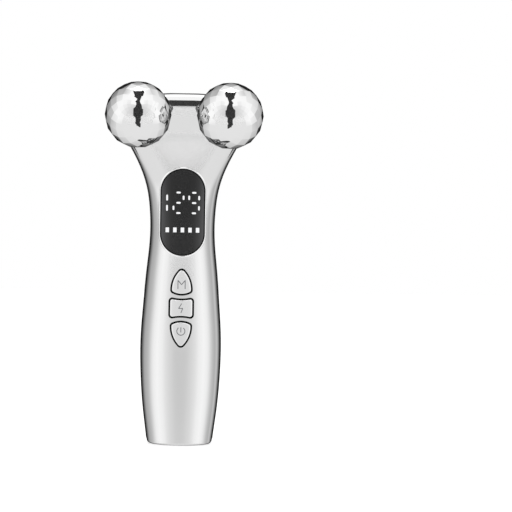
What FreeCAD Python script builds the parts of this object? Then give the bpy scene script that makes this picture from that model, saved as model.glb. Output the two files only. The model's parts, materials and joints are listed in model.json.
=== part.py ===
import FreeCAD, Part
import math
import os
import re
import Sketcher

# Hand-held pulse massager: a plated two-part casing with a display, three buttons
# and two faceted balls that turn freely on axles in front of the head.
# Millimetres. The origin is the centre of the flat base, +Z is up the handle,
# the display and the balls face -Y, and +X is to the right of the display.

SIZES = {
    # Outer form of the casing, as level sections, each a rise above the one below
    "base_half_width": 15.1,
    "base_half_depth": 15.1,
    "base_edge_radius": 1.8,
    "lower_rise": 22.0,
    "lower_half_width": 17.8,
    "lower_half_depth": 17.5,
    "belly_rise": 24.0,
    "belly_half_width": 18.8,
    "belly_half_depth": 19.3,
    "grip_rise": 28.0,
    "grip_half_width": 17.1,
    "grip_half_depth": 18.9,
    "waist_rise": 29.0,
    "waist_half_width": 15.0,
    "waist_half_depth": 17.0,
    "waist_forward": 0.6,
    "neck_rise": 16.0,
    "neck_half_width": 16.6,
    "neck_half_depth": 15.6,
    "neck_forward": 3.4,
    "flare_rise": 12.0,
    "flare_half_width": 20.7,
    "flare_half_depth": 14.0,
    "flare_forward": 6.8,
    "shoulder_rise": 8.5,
    "shoulder_half_width": 25.1,
    "shoulder_half_depth": 12.0,
    "shoulder_forward": 9.6,
    "head_rise": 6.5,
    "head_margin": 6.9,
    "head_half_depth": 10.8,
    "head_forward": 12.0,
    "head_squareness": 3.0,
    "dome_rise": 16.6,
    "top_forward": 18.6,
    "wall": 1.8,
    # Display lens, its light guide and the lit marks
    "lens_width": 20.9,
    "lens_length": 40.2,
    "lens_above_waist": 4.9,
    "lens_thickness": 1.2,
    "lens_clearance": 0.12,
    "lens_ledge": 1.5,
    "guide_clearance": 0.2,
    "digits_above_centre": 4.4,
    "digit_half_height": 4.7,
    "digit_half_width": 2.3,
    "middle_digit_x": -2.0,
    "right_digit_x": 5.2,
    "single_bar_x": -7.3,
    "segment_length": 2.3,
    "segment_width": 1.15,
    "single_bar_length": 3.0,
    "bars_below_centre": 8.1,
    "level_bar_width": 1.9,
    "level_bar_length": 2.5,
    "level_bar_pitch": 3.5,
    "segment_depth": 0.4,
    # Buttons, with their switches behind them
    "pointed_button_width": 9.3,
    "pointed_button_height": 11.4,
    "button_tip_radius": 1.5,
    "button_corner_radius": 1.2,
    "button_edge_dip": 0.8,
    "square_button_width": 10.75,
    "square_button_height": 8.6,
    "square_button_dip": 0.45,
    "lens_button_gap": 6.3,
    "button_column_gap": 2.0,
    "button_gap": 0.55,
    "button_proud": 0.35,
    "button_ear": 1.2,
    "button_ear_height": 4.5,
    "button_ear_thickness": 1.0,
    "button_ear_clearance": 0.1,
    "button_travel": 0.5,
    "stem_radius": 1.6,
    "switch_width": 6.0,
    "switch_depth": 3.5,
    "plunger_radius": 1.6,
    "plunger_stand_out": 1.0,
    "plunger_seat": 1.8,
    "running_clearance": 0.05,
    "over_travel": 0.1,
    # Circuit board and what it carries
    "board_front": -8.0,
    "board_thickness": 1.6,
    "board_width": 18.0,
    "board_margin": 1.0,
    "board_tail": 13.5,
    "board_boss_radius": 2.2,
    "board_screw_inset": 2.0,
    "upper_screw_gap": 4.7,
    "lower_screw_gap": 0.4,
    "module_width": 15.0,
    "module_height": 34.0,
    "module_depth": 4.0,
    "transformer_width": 9.0,
    "transformer_height": 8.0,
    "transformer_depth": 6.0,
    "transformer_core": 4.0,
    "coil_width": 6.0,
    "coil_inset": 1.2,
    "chip_size": 7.0,
    "chip_thickness": 1.2,
    "chip_gap": 9.5,
    # Screws
    "screw_radius": 0.95,
    "screw_head_radius": 1.8,
    "screw_head_height": 1.2,
    "screw_grip": 3.4,
    "pilot_clearance": 0.05,
    # Battery and charging socket
    "battery_radius": 9.1,
    "battery_length": 65.0,
    "battery_nub_radius": 2.8,
    "battery_nub_height": 1.0,
    "pad_thickness": 0.8,
    "holder_wall": 1.2,
    "holder_half_width": 4.6,
    "holder_reach": 12.0,
    "holder_clearance": 0.1,
    "socket_width": 8.94,
    "socket_thickness": 3.26,
    "socket_length": 7.4,
    "socket_mouth": 0.5,
    "socket_wall": 0.3,
    "socket_clearance": 0.2,
    "socket_back": 6.0,
    "socket_tongue": 0.7,
    "charge_board_width": 15.0,
    "charge_board_thickness": 1.2,
    "charge_board_height": 9.6,
    "charge_board_room": 1.3,
    # Balls and axles
    "ball_radius": 15.0,
    "ball_wall": 2.4,
    "ball_nose_wall": 3.5,
    "ball_facets": 14,
    "ball_cap_radius": 2.6,
    "ball_spacing": 41.4,
    "ball_head_gap": 4.7,
    "ball_above_head": 5.0,
    "journal_radius": 2.0,
    "shaft_radius": 2.7,
    "shoulder_recess": 0.7,
    "hub_radius": 5.2,
    "hub_bore_radius": 4.0,
    "hub_recess": 1.0,
    "bush_length": 6.0,
    "nose_room": 3.0,
    "seat_clearance": 0.02,
    "end_play": 0.1,
    "washer_thickness": 0.5,
    "washer_radius": 3.6,
    "clip_thickness": 0.8,
    "clip_radius": 3.4,
    "groove_depth": 0.5,
    "axle_end_margin": 0.4,
    "collar_gap": 2.2,
    "collar_nose_length": 0.8,
    "collar_disc_thickness": 2.2,
    "collar_radius": 4.95,
    "collar_neck_radius": 3.7,
    "collar_clearance": 0.15,
    # Bracket that carries the axles inside the head
    "bracket_inset": 5.3,
    "bracket_depth": 6.0,
    "bracket_barrel_radius": 3.7,
    "bracket_bar_depth": 4.0,
    "bracket_bar_height": 7.0,
    "bracket_screw_x": 8.0,
    "bracket_boss_radius": 2.6,
    # Contact strips and leads
    "contact_thickness": 0.4,
    "contact_width": 4.0,
    "contact_length": 9.0,
    "lead_radius": 0.5,
    "lead_bend": 2.0,
    "electrode_lead_x": 4.0,
    "electrode_lead_rise": 5.0,
}

# Heights above the base, and distances along an axle from its ball's centre, that follow
DERIVED = {
    "lower_height": "lower_rise",
    "belly_height": "lower_height + belly_rise",
    "grip_height": "belly_height + grip_rise",
    "waist_height": "grip_height + waist_rise",
    "neck_height": "waist_height + neck_rise",
    "flare_height": "neck_height + flare_rise",
    "shoulder_height": "flare_height + shoulder_rise",
    "head_height": "shoulder_height + head_rise",
    "top_height": "head_height + dome_rise",
    "head_half_width": "ball_spacing / 2 + head_margin",
    "lens_height": "waist_height + lens_above_waist",
    "digit_height": "lens_height + digits_above_centre",
    "level_bar_height": "lens_height - bars_below_centre",
    "mode_height": "lens_height - lens_length / 2 - lens_button_gap - pointed_button_height / 2",
    "button_pitch": "pointed_button_height / 2 + button_column_gap + square_button_height / 2",
    "level_height": "mode_height - button_pitch",
    "power_height": "level_height - button_pitch",
    "module_bottom": "lens_height - module_height / 2",
    "module_top": "lens_height + module_height / 2",
    "upper_screw_height": "module_bottom - upper_screw_gap - board_boss_radius",
    "lower_screw_height": "power_height - pointed_button_height / 2 - lower_screw_gap - board_boss_radius",
    "board_screw_x": "board_width / 2 - board_screw_inset",
    "board_top": "module_top + board_margin",
    "board_bottom": "lower_screw_height - board_tail",
    "battery_bottom": "wall + charge_board_height + charge_board_room + holder_wall + holder_clearance",
    "chip_height": "battery_bottom + battery_length + chip_gap + chip_size / 2",
    "ball_height": "head_height + ball_above_head",
    "ball_forward": "head_forward + head_half_depth + ball_head_gap + ball_radius",
    "hub_rear": "ball_radius - hub_recess",
    "shoulder_distance": "ball_radius - shoulder_recess",
    "front_bush_end": "ball_radius - ball_nose_wall - nose_room",
    "collar_nose_distance": "ball_radius + collar_gap",
    "collar_step_distance": "collar_nose_distance + collar_nose_length",
    "bracket_front": "bracket_inset - head_forward - head_half_depth",
}

SECTION_POINTS = 32
HANDLE_SECTIONS = 16
DOME_STEPS = (0.3, 0.55, 0.74, 0.87, 0.945, 0.982, 0.996)
DOME_POWER = 3.0
FAR = 80.0
SIDES = (("left", -1), ("right", 1))

doc = FreeCAD.newDocument("PulseMassager")
sheet = doc.addObject("Spreadsheet::Sheet", "Sizes")
for row, alias in enumerate([*SIZES, *DERIVED], start=1):
    sheet.set("A%d" % row, alias)
    sheet.setAlias("B%d" % row, alias)
for row, amount in enumerate(SIZES.values(), start=1):
    sheet.set("B%d" % row, str(amount))
for row, text in enumerate(DERIVED.values(), start=len(SIZES) + 1):
    sheet.set("B%d" % row, "=" + text)
doc.recompute()

pieces = {}


def size(alias):
    """A driving dimension, read from the sheet."""
    return float(sheet.get(alias))


def formula(text):
    """The text with each driving dimension named as a cell of the sheet."""
    return re.sub(r"[a-z_]+", lambda word: "Sizes." + word.group(0), text)


def number(text):
    return float(sheet.evalExpression(formula(text)))


def bind(item, settings):
    for name, text in settings.items():
        item.setExpression(name, formula(text))


def vector(x, y, z):
    return FreeCAD.Vector(x, y, z)


def place(item, x, y, z):
    bind(item, {"Placement.Base.x": x, "Placement.Base.y": y, "Placement.Base.z": z})


def keep(label, item):
    item.Label = label
    pieces[label] = item
    return item


# Features bound to the sheet


def origin_plane(body, role):
    return [plane for plane in body.Origin.OriginFeatures if plane.Role == role][0]


def closed_profile(body, role, corners):
    """A fully placed polygon sketch whose corners are formulas of the sheet."""
    sketch = body.newObject("Sketcher::SketchObject", "Profile")
    sketch.AttachmentSupport = [(origin_plane(body, role), "")]
    sketch.MapMode = "FlatFace"
    spots = [vector(number(across), number(along), 0) for across, along in corners]
    count = len(spots)
    for index in range(count):
        sketch.addGeometry(Part.LineSegment(spots[index], spots[(index + 1) % count]))
    for index in range(count):
        link = Sketcher.Constraint("Coincident", index, 2, (index + 1) % count, 1)
        sketch.addConstraint(link)
    for index, (across, along) in enumerate(corners):
        for kind, text, spot, axis in (
            ("DistanceX", across, spots[index].x, -2),
            ("DistanceY", along, spots[index].y, -1),
        ):
            if text == "0":
                sketch.addConstraint(Sketcher.Constraint("PointOnObject", index, 1, axis))
                continue
            held = sketch.addConstraint(Sketcher.Constraint(kind, -1, 1, index, 1, spot))
            sketch.setExpression("Constraints[%d]" % held, formula(text))
    return sketch


def turned(label, role, corners, x, y, z):
    """A piece turned about the vertical axis of its sketch; corners are radius, length."""
    body = doc.addObject("PartDesign::Body", label)
    sketch = closed_profile(body, role, corners)
    turn = body.newObject("PartDesign::Revolution", "Turn")
    turn.Profile = sketch
    turn.ReferenceAxis = (sketch, ["V_Axis"])
    turn.Angle = 360
    place(body, x, y, z)
    return keep(label, body)


def box(name, x, y, z, length, width, height):
    block = doc.addObject("Part::Box", name)
    bind(block, {"Length": length, "Width": width, "Height": height})
    place(block, x, y, z)
    return block


def rod(name, x, y, z, radius, length):
    """A cylinder that starts at y and runs towards +Y."""
    bar = doc.addObject("Part::Cylinder", name)
    bar.Placement = FreeCAD.Placement(vector(0, 0, 0), FreeCAD.Rotation(vector(1, 0, 0), -90))
    bind(bar, {"Radius": radius, "Height": length})
    place(bar, x, y, z)
    return bar


def fuse(name, shapes):
    joined = doc.addObject("Part::MultiFuse", name)
    joined.Shapes = shapes
    return joined


def cut(name, base, tool):
    result = doc.addObject("Part::Cut", name)
    result.Base = base
    result.Tool = tool
    return result


def shaped(label, shape):
    """A free-form piece, whose shape is worked out from the sheet."""
    item = keep(label, doc.addObject("Part::Feature", label))
    item.Shape = shape
    item.Placement = FreeCAD.Placement()
    return item


# Free form of the casing


def stations():
    """Height, half width, half depth and forward shift of each level section."""
    rows = [(0.0, size("base_half_width"), size("base_half_depth"), 0.0)]
    for name in ("lower", "belly", "grip"):
        rows.append((size(name + "_height"), size(name + "_half_width"), size(name + "_half_depth"), 0.0))
    for name in ("waist", "neck", "flare", "shoulder", "head"):
        rows.append((
            size(name + "_height"),
            size(name + "_half_width"),
            size(name + "_half_depth"),
            size(name + "_forward"),
        ))
    return rows


def squareness(height):
    """Sections are ellipses in the handle and grow squarer towards the head."""
    share = (height - size("waist_height")) / (size("head_height") - size("waist_height"))
    return 2.0 + (size("head_squareness") - 2.0) * min(1.0, max(0.0, share))


def signed_power(amount, power):
    return math.copysign(abs(amount) ** power, amount)


def section_wire(height, half_width, half_depth, forward, power):
    points = []
    for index in range(SECTION_POINTS):
        turn = math.pi / 2 + 2 * math.pi * index / SECTION_POINTS
        x = half_width * signed_power(math.cos(turn), 2 / power)
        y = half_depth * signed_power(math.sin(turn), 2 / power) - forward
        points.append(vector(x, y, height))
    curve = Part.BSplineCurve()
    curve.interpolate(Points=points, PeriodicFlag=True, Parameters=list(range(SECTION_POINTS + 1)))
    return Part.Wire([curve.toShape()])


def smooth_between(stops, height):
    """The smooth curve through height and value stops, straight on past either end."""
    heights = [stop[0] for stop in stops]
    values = [stop[1] for stop in stops]
    gaps = [high - low for low, high in zip(heights, heights[1:])]
    rates = [(high - low) / gap for low, high, gap in zip(values, values[1:], gaps)]
    slopes = [rates[0]]
    for index in range(1, len(rates)):
        before, after = gaps[index - 1], gaps[index]
        slopes.append((after * rates[index - 1] + before * rates[index]) / (before + after))
    slopes.append(rates[-1])
    if height <= heights[0]:
        return values[0] + slopes[0] * (height - heights[0])
    span = next(index for index, top in enumerate(heights[1:]) if height <= top or index == len(gaps) - 1)
    gap = gaps[span]
    share = (height - heights[span]) / gap
    rest = 1 - share
    return (
        values[span] * rest * rest * (1 + 2 * share)
        + slopes[span] * gap * share * rest * rest
        + values[span + 1] * share * share * (1 + 2 * rest)
        - slopes[span + 1] * gap * share * share * rest
    )


def casing_section(height):
    """Half width, half depth and forward shift at any height below the head's dome."""
    rows = stations()
    return [smooth_between([(row[0], row[column]) for row in rows], height) for column in (1, 2, 3)]


def casing_form(grow):
    """The casing's solid form, grown or shrunk by an even amount."""
    wires = []
    head_height = size("head_height")
    for index in range(-1, HANDLE_SECTIONS + 1):
        height = head_height * index / HANDLE_SECTIONS
        half_width, half_depth, forward = casing_section(height)
        wires.append(section_wire(height, half_width + grow, half_depth + grow, forward, squareness(height)))
    half_width, half_depth, forward = casing_section(head_height)
    rise = size("top_height") + grow - head_height
    lean = size("top_forward") - forward
    for step in DOME_STEPS:
        share = (1 - step ** DOME_POWER) ** (1 / DOME_POWER)
        wires.append(section_wire(
            head_height + rise * step,
            (half_width + grow) * share,
            (half_depth + grow) * share,
            forward + lean * step,
            size("head_squareness"),
        ))
    above_floor = Part.makeBox(2 * FAR, 2 * FAR, 4 * FAR, vector(-FAR, -FAR, max(0.0, -grow)))
    return Part.makeLoft(wires, True, False).common(above_floor).Solids[0]


def rounded_base(half, radius):
    """One half of the casing's form with the outer edge of its base rounded."""
    rim = [
        edge for edge in half.Edges
        if edge.BoundBox.ZMax < radius / 10 and edge.BoundBox.YLength > radius
    ]
    return half.makeFillet(radius, rim)


def front_half():
    """All the space in front of the parting surface, which follows the sections' centres."""
    points = [vector(0, -forward, height) for height, _, _, forward in stations()]
    points.append(vector(0, -size("top_forward"), size("top_height")))
    curve = Part.BSplineCurve()
    curve.interpolate(Points=points)
    foot = points[0] - vector(0, 0, FAR)
    crown = points[-1] + vector(0, points[-1].y - points[-2].y, points[-1].z - points[-2].z) * 2
    edges = [
        Part.makeLine(foot, points[0]),
        curve.toShape(),
        Part.makeLine(points[-1], crown),
        Part.makeLine(crown, vector(0, -2 * FAR, crown.z)),
        Part.makeLine(vector(0, -2 * FAR, crown.z), vector(0, -2 * FAR, foot.z)),
        Part.makeLine(vector(0, -2 * FAR, foot.z), foot),
    ]
    face = Part.Face(Part.Wire(edges))
    face.translate(vector(-FAR, 0, 0))
    return face.extrude(vector(2 * FAR, 0, 0))


def prism(outline, back):
    """An outline in the plane of the display, carried from far in front to the depth back."""
    face = Part.Face(outline)
    face.translate(vector(0, -FAR, 0))
    return face.extrude(vector(0, FAR + back, 0))


def bore(x, z, radius, front, back):
    return Part.makeCylinder(radius, back - front, vector(x, front, z), vector(0, 1, 0))


def stadium(x, z, width, length):
    """A slot outline with round ends, upright if it is longer than it is wide."""
    radius = min(width, length) / 2
    across = width / 2 - radius
    along = length / 2 - radius
    if across < along:
        low, high, side = vector(x, 0, z - along), vector(x, 0, z + along), vector(radius, 0, 0)
    else:
        low, high, side = vector(x - across, 0, z), vector(x + across, 0, z), vector(0, 0, -radius)
    reach = (high - low).normalize() * radius
    return Part.Wire([
        Part.Arc(low - side, low - reach, low + side).toShape(),
        Part.makeLine(low + side, high + side),
        Part.Arc(high + side, high + reach, high - side).toShape(),
        Part.makeLine(high - side, low - side),
    ])


def rectangle(x, z, width, length):
    corners = [
        vector(x - width / 2, 0, z - length / 2),
        vector(x + width / 2, 0, z - length / 2),
        vector(x + width / 2, 0, z + length / 2),
        vector(x - width / 2, 0, z + length / 2),
    ]
    return Part.makePolygon(corners + corners[:1])


def pointed_outline(centre, up):
    """A bullet outline: a bowed edge, two round corners and a rounded tip."""
    corner = size("button_corner_radius")
    half = size("pointed_button_width") / 2 - corner
    tip = size("button_tip_radius") - corner
    dip = size("button_edge_dip")
    low = -size("pointed_button_height") / 2 + corner + dip
    tip_centre = size("pointed_button_height") / 2 - corner - tip
    rise = tip_centre - low
    bow = (half ** 2 + rise ** 2 - tip ** 2) / (2 * (half - tip))
    hub = vector(half - bow, 0, low)
    lean = math.atan2(rise, bow - half)

    def on_side(angle):
        return hub + vector(bow * math.cos(angle), 0, bow * math.sin(angle))

    def mirrored(point):
        return vector(-point.x, 0, point.z)

    right, middle, shoulder = on_side(0), on_side(lean / 2), on_side(lean)
    point = vector(0, 0, tip_centre + tip)
    outline = Part.Wire([
        Part.Arc(mirrored(right), vector(0, 0, low - dip), right).toShape(),
        Part.Arc(right, middle, shoulder).toShape(),
        Part.Arc(shoulder, point, mirrored(shoulder)).toShape(),
        Part.Arc(mirrored(shoulder), mirrored(middle), mirrored(right)).toShape(),
    ]).makeOffset2D(corner)
    if not up:
        outline.rotate(vector(0, 0, 0), vector(0, 1, 0), 180)
    outline.translate(vector(0, 0, centre))
    return outline


def square_outline(centre):
    """A block with round corners, hollowed above and below to follow its neighbours."""
    corner = size("button_corner_radius")
    half = size("square_button_width") / 2 - corner
    rise = size("square_button_height") / 2 - corner
    dip = size("square_button_dip")
    outline = Part.Wire([
        Part.Arc(vector(-half, 0, -rise), vector(0, 0, dip - rise), vector(half, 0, -rise)).toShape(),
        Part.makeLine(vector(half, 0, -rise), vector(half, 0, rise)),
        Part.Arc(vector(half, 0, rise), vector(0, 0, rise - dip), vector(-half, 0, rise)).toShape(),
        Part.makeLine(vector(-half, 0, rise), vector(-half, 0, -rise)),
    ]).makeOffset2D(corner)
    outline.translate(vector(0, 0, centre))
    return outline


# Lens, light guide and lit marks

WALL = size("wall")
outer_form = casing_form(0.0)
lens_back_form = casing_form(-size("lens_thickness"))
cavity_form = casing_form(-WALL)
MODULE_FRONT = size("board_front") - size("module_depth")


def lens_outline(grow):
    width = size("lens_width") + 2 * grow
    return stadium(0, size("lens_height"), width, size("lens_length") + 2 * grow)


def digit_marks():
    """Outlines of the lit marks: one bar, the digits 2 and 9, and five level bars."""
    long_way = size("segment_length")
    short_way = size("segment_width")
    half_width = size("digit_half_width")
    half_height = size("digit_half_height")
    middle = size("digit_height")
    marks = []

    def lying(x, z):
        marks.append(stadium(x, z, long_way, short_way))

    def standing(x, z, length):
        marks.append(stadium(x, z, short_way, length))

    for step in (-1, 1):
        standing(size("single_bar_x"), middle + step * half_height / 2, size("single_bar_length"))
    for digit_x in (size("middle_digit_x"), size("right_digit_x")):
        for step in (-1, 0, 1):
            lying(digit_x, middle + step * half_height)
        standing(digit_x + half_width, middle + half_height / 2, long_way)
    standing(size("middle_digit_x") - half_width, middle - half_height / 2, long_way)
    standing(size("right_digit_x") - half_width, middle + half_height / 2, long_way)
    standing(size("right_digit_x") + half_width, middle - half_height / 2, long_way)
    for step in (-2, -1, 0, 1, 2):
        bar_x = step * size("level_bar_pitch")
        bar_z = size("level_bar_height")
        marks.append(rectangle(bar_x, bar_z, size("level_bar_width"), size("level_bar_length")))
    return marks


lens_block = prism(lens_outline(0.0), 0.0)
lens_blank = lens_block.common(outer_form).cut(lens_back_form)
mark_layer = lens_block.common(outer_form).cut(casing_form(-size("segment_depth")))
marks = Part.makeCompound([prism(outline, 0.0) for outline in digit_marks()])
shaped("display_segments", mark_layer.common(marks))
shaped("display_window", lens_blank.cut(pieces["display_segments"].Shape))

guide_form = casing_form(-size("lens_thickness") - size("guide_clearance"))
guide_outline = lens_outline(-size("lens_ledge") - size("guide_clearance"))
shaped("light_guide", prism(guide_outline, MODULE_FRONT).common(guide_form))

# Buttons with their stems and retaining ears

PLUNGER_FRONT = size("board_front") - size("switch_depth") - size("plunger_stand_out")
BUTTONS = (
    ("mode", size("mode_height"), pointed_outline(size("mode_height"), True), "pointed_button_width"),
    ("level", size("level_height"), square_outline(size("level_height")), "square_button_width"),
    ("power", size("power_height"), pointed_outline(size("power_height"), False), "pointed_button_width"),
)
proud_form = casing_form(size("button_proud"))
ear_top = WALL + size("button_ear_clearance")
ear_front_form = casing_form(-ear_top)
ear_back_form = casing_form(-ear_top - size("button_ear_thickness"))

for name, height, outline, width in BUTTONS:
    cap = prism(outline, 0.0).common(proud_form).cut(ear_back_form)
    ear_width = size(width) + 2 * size("button_gap") + 2 * size("button_ear")
    ear_outline = rectangle(0, height, ear_width, size("button_ear_height"))
    ear = prism(ear_outline, 0.0).common(ear_front_form).cut(ear_back_form)
    stem = bore(0, height, size("stem_radius"), -FAR, PLUNGER_FRONT).common(ear_front_form)
    shaped(name + "_button", cap.fuse([ear, stem]).removeSplitter())

# Casing halves with their openings and bosses


def casing_openings():
    """What is cut out of the front half for the lens, buttons and collars."""
    lens_seat = prism(lens_outline(size("lens_clearance")), 0.0).cut(lens_back_form)
    window = prism(lens_outline(-size("lens_ledge")), MODULE_FRONT)
    tools = [lens_seat, window]
    for _, height, outline, _ in BUTTONS:
        tools.append(prism(outline.makeOffset2D(size("button_gap")), size("board_front")))
    disc_back = size("collar_step_distance") + size("collar_disc_thickness") - size("ball_forward")
    clearance = size("collar_clearance")
    for _, side in SIDES:
        x = side * size("ball_spacing") / 2
        z = size("ball_height")
        neck_back = size("bracket_front") + clearance
        tools.append(bore(x, z, size("collar_radius") + clearance, -FAR, disc_back + clearance))
        tools.append(bore(x, z, size("collar_neck_radius") + clearance, -FAR, neck_back))
    return tools


def upright_slot(width, thickness, low, high):
    """A standing bar with the round-ended section of the charging socket."""
    outline = stadium(0, 0, width, thickness)
    outline.rotate(vector(0, 0, 0), vector(1, 0, 0), 90)
    outline.translate(vector(0, size("socket_back"), low))
    return Part.Face(outline).extrude(vector(0, 0, high - low))


def socket_opening():
    gap = 2 * size("socket_clearance")
    return upright_slot(size("socket_width") + gap, size("socket_thickness") + gap, -WALL, 2 * WALL)


def screw_spots():
    """Place, boss radius and boss end of each screw that goes into the front half."""
    board = size("board_front")
    spots = []
    for z in (size("upper_screw_height"), size("lower_screw_height")):
        for _, side in SIDES:
            spots.append((side * size("board_screw_x"), z, size("board_boss_radius"), board))
    for _, side in SIDES:
        x = side * size("bracket_screw_x")
        spots.append((x, size("ball_height"), size("bracket_boss_radius"), size("bracket_front")))
    return spots


half_space = front_half()
boss_limit = casing_form(-WALL / 2)
base_round = size("base_edge_radius")
front = rounded_base(outer_form.common(half_space).Solids[0], base_round).cut(cavity_form)
rear = rounded_base(outer_form.cut(half_space).Solids[0], base_round).cut(cavity_form)
bosses = []
pilots = []
for x, z, radius, end in screw_spots():
    bosses.append(bore(x, z, radius, -FAR, end).common(boss_limit))
    depth = size("screw_grip") + size("over_travel")
    pilots.append(bore(x, z, size("screw_radius") + size("pilot_clearance"), end - depth, end))
openings = casing_openings()
front = front.fuse(bosses).cut(openings + pilots).removeSplitter()
rear = rear.cut(socket_opening())
shaped("front_shell", front)
shaped("rear_shell", rear)

# Circuit board, display module, switches and parts on the board

board = box("board_blank", "-board_width / 2", "board_front", "board_bottom",
            "board_width", "board_thickness", "board_top - board_bottom")
board_holes = []
for row, height in (("upper", "upper_screw_height"), ("lower", "lower_screw_height")):
    for side, sign in (("left", "-"), ("right", "")):
        board_holes.append(rod("board_hole_" + row + side, sign + "board_screw_x",
                               "board_front - over_travel", height,
                               "screw_radius + pilot_clearance", "board_thickness + 2 * over_travel"))
keep("main_board", cut("main_board", board, fuse("board_holes", board_holes)))

keep("display_module", box("display_module", "-module_width / 2", "board_front - module_depth",
                           "module_bottom", "module_width", "module_depth", "module_top - module_bottom"))

for name, _, _, _ in BUTTONS:
    height = name + "_height"
    turned(name + "_plunger", "XY_Plane", [
        ("0", "0"),
        ("plunger_radius", "0"),
        ("plunger_radius", "plunger_stand_out + plunger_seat"),
        ("0", "plunger_stand_out + plunger_seat"),
    ], "0", "board_front - switch_depth - plunger_stand_out", height)
    block = box(name + "_switch_block", "-switch_width / 2", "board_front - switch_depth",
                height + " - switch_width / 2", "switch_width", "switch_depth", "switch_width")
    well = rod(name + "_switch_well", "0", "board_front - switch_depth - over_travel", height,
               "plunger_radius + running_clearance", "plunger_seat + button_travel + 2 * over_travel")
    keep(name + "_switch", cut(name + "_switch", block, well))

core = box("transformer_core", "-transformer_width / 2", "board_front - transformer_depth", "board_bottom",
           "transformer_width", "transformer_depth", "transformer_core")
coil = box("transformer_coil", "-coil_width / 2", "board_front - transformer_depth + coil_inset",
           "board_bottom + transformer_core", "coil_width",
           "transformer_depth - coil_inset", "transformer_height - transformer_core")
keep("pulse_transformer", fuse("pulse_transformer", [core, coil]))
keep("control_chip", box("control_chip", "-chip_size / 2", "board_front + board_thickness",
                         "chip_height - chip_size / 2", "chip_size", "chip_thickness", "chip_size"))


def screw(name, x, z, seat, under_head):
    """A pan-head screw driven from behind: its head lies on seat, its shank points forward."""
    length = under_head + " + screw_grip"
    head = rod(name + "_head", x, seat, z, "screw_head_radius", "screw_head_height")
    shank = rod(name + "_shank", x, seat + " - (" + length + ")", z, "screw_radius", length)
    return fuse(name, [head, shank])


board_screws = []
for row, height in (("upper", "upper_screw_height"), ("lower", "lower_screw_height")):
    for side, sign in (("left", "-"), ("right", "")):
        board_screws.append(screw("board_screw_" + row + side, sign + "board_screw_x", height,
                                  "board_front + board_thickness", "board_thickness"))
group = doc.addObject("Part::Compound", "board_screws")
group.Links = board_screws
keep("board_screws", group)

# Battery, its holder, and the charging socket

PAD_Y = "board_front + board_thickness"
HOLDER_Y = PAD_Y + " + pad_thickness"
BATTERY_Y = HOLDER_Y + " + holder_wall + holder_clearance + battery_radius"
turned("battery", "XZ_Plane", [
    ("0", "0"),
    ("battery_radius", "0"),
    ("battery_radius", "battery_length - battery_nub_height"),
    ("battery_nub_radius", "battery_length - battery_nub_height"),
    ("battery_nub_radius", "battery_length"),
    ("0", "battery_length"),
], "0", BATTERY_Y, "battery_bottom")

HOLDER_BOTTOM = "battery_bottom - holder_clearance - holder_wall"
HOLDER_HEIGHT = "battery_length + 2 * holder_clearance + 2 * holder_wall"
keep("battery_pad", box("battery_pad", "-holder_half_width", PAD_Y, "lower_screw_height",
                        "2 * holder_half_width", "pad_thickness",
                        "battery_bottom + battery_length - lower_screw_height"))
spine = box("holder_spine", "-holder_half_width", HOLDER_Y, HOLDER_BOTTOM,
            "2 * holder_half_width", "holder_wall", HOLDER_HEIGHT)
foot = box("holder_foot", "-holder_half_width", HOLDER_Y, HOLDER_BOTTOM,
           "2 * holder_half_width", "holder_reach", "holder_wall")
cap = box("holder_cap", "-holder_half_width", HOLDER_Y, "battery_bottom + battery_length + holder_clearance",
          "2 * holder_half_width", "holder_reach", "holder_wall")
keep("battery_holder", fuse("battery_holder", [spine, foot, cap]))


def socket_shape():
    """A thin metal sleeve with a closed back and a tongue down its middle."""
    width, thickness, length = size("socket_width"), size("socket_thickness"), size("socket_length")
    skin = size("socket_wall")

    def slot(shrink, low, high):
        return upright_slot(width - 2 * shrink, thickness - 2 * shrink, low, high)

    mouth = size("socket_mouth")
    sleeve = slot(0, mouth, mouth + length).cut(slot(skin, mouth, mouth + length - skin))
    tongue_width = width - thickness
    tongue_front = size("socket_back") - size("socket_tongue") / 2
    tongue = Part.makeBox(tongue_width, size("socket_tongue"), length - 2 * skin,
                          vector(-tongue_width / 2, tongue_front, mouth + skin))
    return sleeve.fuse(tongue)


shaped("charge_socket", socket_shape())
keep("charge_board", box("charge_board", "-charge_board_width / 2",
                         "socket_back - socket_thickness / 2 - charge_board_thickness", "wall",
                         "charge_board_width", "charge_board_thickness", "charge_board_height"))

# Balls, with planar facets in staggered rings round the axle


def ring_latitudes(facets, radius, cap_radius):
    """Latitudes of the corner rings, from the equator until the small flat at the pole.
    Each next ring puts the four corners of a facet on one plane and on the sphere."""
    spread = math.cos(math.pi / facets)
    rings = [0.0, math.pi / facets]
    while radius * math.cos(rings[-1]) > cap_radius:
        top = (math.cos(rings[-2]), math.sin(rings[-2]))
        middle = (math.cos(rings[-1]) * spread, math.sin(rings[-1]))
        step = (middle[0] - top[0], middle[1] - top[1])
        reach = -2 * (top[0] * step[0] + top[1] * step[1]) / (step[0] ** 2 + step[1] ** 2)
        next_out = top[0] + reach * step[0]
        next_up = top[1] + reach * step[1]
        if next_out <= 0 or math.atan2(next_up, next_out) <= rings[-1]:
            break
        rings.append(math.atan2(next_up, next_out))
    return rings


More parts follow.
